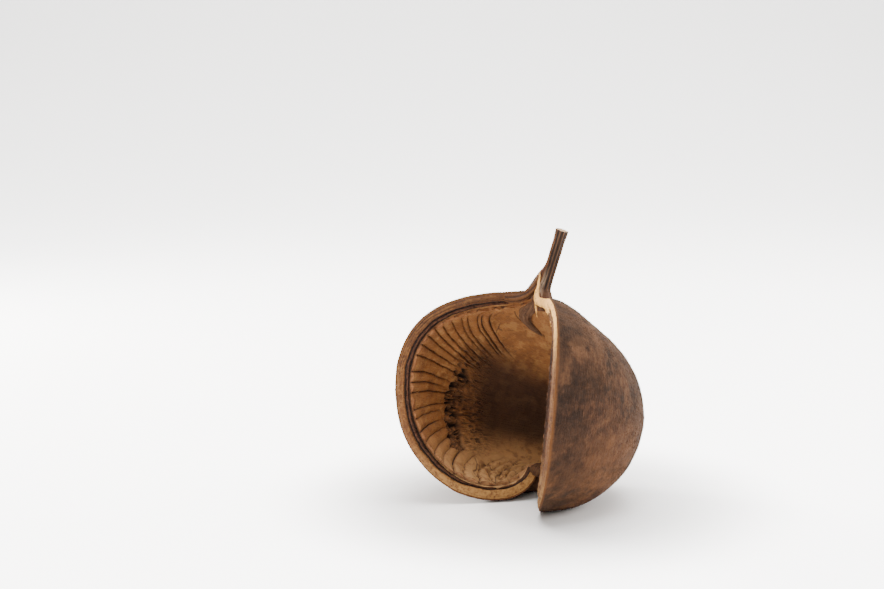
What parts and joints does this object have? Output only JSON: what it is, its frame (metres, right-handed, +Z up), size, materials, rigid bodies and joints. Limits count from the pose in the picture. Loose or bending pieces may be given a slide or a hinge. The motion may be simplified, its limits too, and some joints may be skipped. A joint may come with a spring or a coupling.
{
  "type": "buddha nut pod",
  "caption": "Dry woody seed pod split along its front seam into two bowl-shaped halves joined at the back, with a fluted stalk on top.",
  "frame": {"origin": "centre of the bounding box, on the floor the pod rests on", "axes": "+Z up along the stalk, -Y out of the open front, +X to the right seen from the front"},
  "size_m": [0.1286, 0.115, 0.1506],
  "materials": {
    "husk": "matt, dry and fibrous"
  },
  "bodies": {
    "root": {"pod": "husk"}
  },
  "joints": []
}
